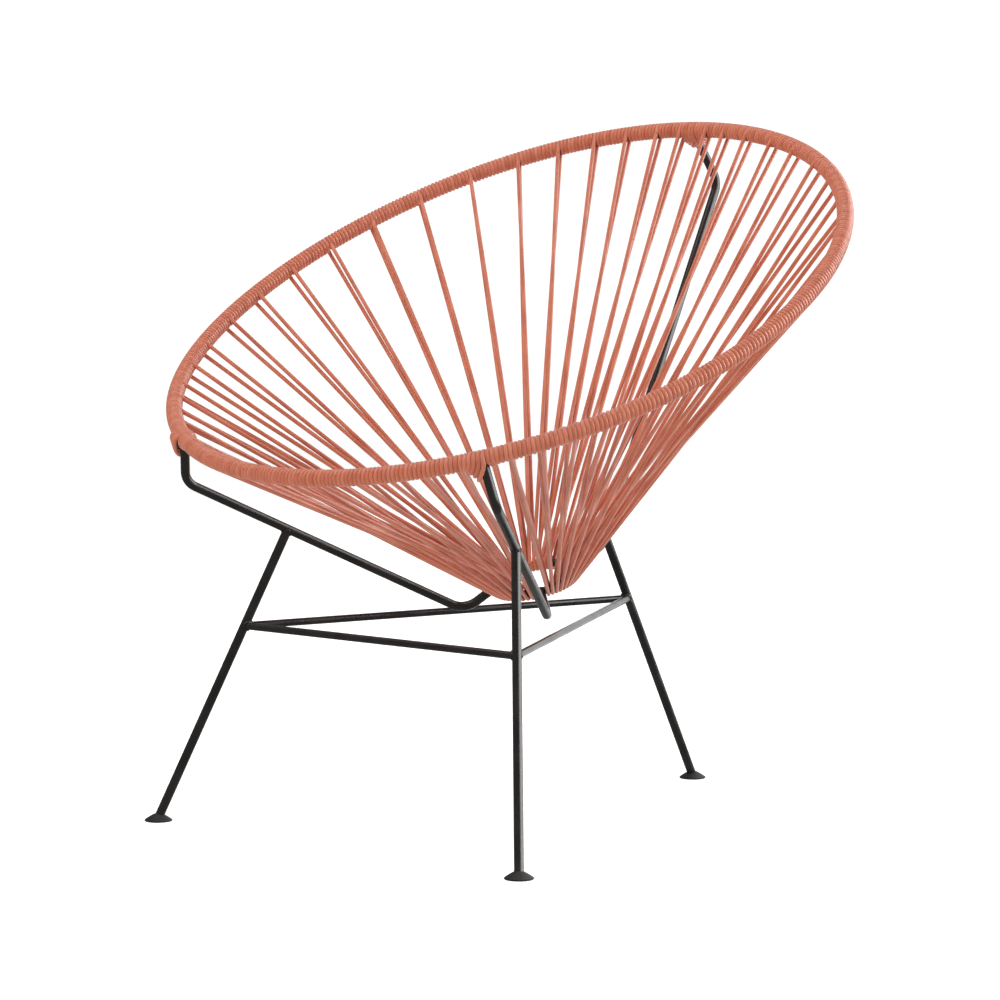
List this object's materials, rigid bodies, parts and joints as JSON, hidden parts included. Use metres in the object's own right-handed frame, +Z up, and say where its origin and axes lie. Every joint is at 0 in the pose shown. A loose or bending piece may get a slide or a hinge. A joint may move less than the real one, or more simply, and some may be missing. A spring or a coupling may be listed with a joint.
{
  "type": "round string lounge chair",
  "caption": "Round lounge chair: a tilted steel hoop strung with plastic cord to a small bottom ring, on bent arms, splayed legs and stretchers.",
  "frame": {"origin": "middle of the footprint, on the floor", "axes": "+Z up, the sitter looks along -Y, +X is on the sitter's left"},
  "size_m": [0.7782, 0.7186, 0.7552],
  "materials": {
    "frame_steel": "near-black satin powder coat",
    "cord": "soft satin coral cord",
    "foot": "matt black"
  },
  "bodies": {
    "root": {"arm_back": "frame_steel", "arm_left": "frame_steel", "arm_right": "frame_steel", "arm_wrap_back": "cord", "arm_wrap_left": "cord", "arm_wrap_right": "cord", "bottom_ring": "frame_steel", "cord_front_1": "cord", "cord_front_2": "cord", "cord_front_3": "cord", "cord_front_4": "cord", "cord_front_5": "cord", "cord_left_1": "cord", "cord_left_2": "cord", "cord_left_3": "cord", "cord_left_4": "cord", "cord_left_5": "cord", "cord_left_6": "cord", "cord_left_7": "cord", "cord_left_8": "cord", "cord_left_9": "cord", "cord_right_1": "cord", "cord_right_10": "cord", "cord_right_2": "cord", "cord_right_3": "cord", "cord_right_4": "cord", "cord_right_5": "cord", "cord_right_6": "cord", "cord_right_7": "cord", "cord_right_8": "cord", "cord_right_9": "cord", "foot_back": "foot", "foot_left": "foot", "foot_right": "foot", "leg_back": "frame_steel", "leg_left": "frame_steel", "leg_right": "frame_steel", "rim_rod": "frame_steel", "stretcher_front": "frame_steel", "stretcher_left": "frame_steel", "stretcher_right": "frame_steel"}
  },
  "joints": []
}
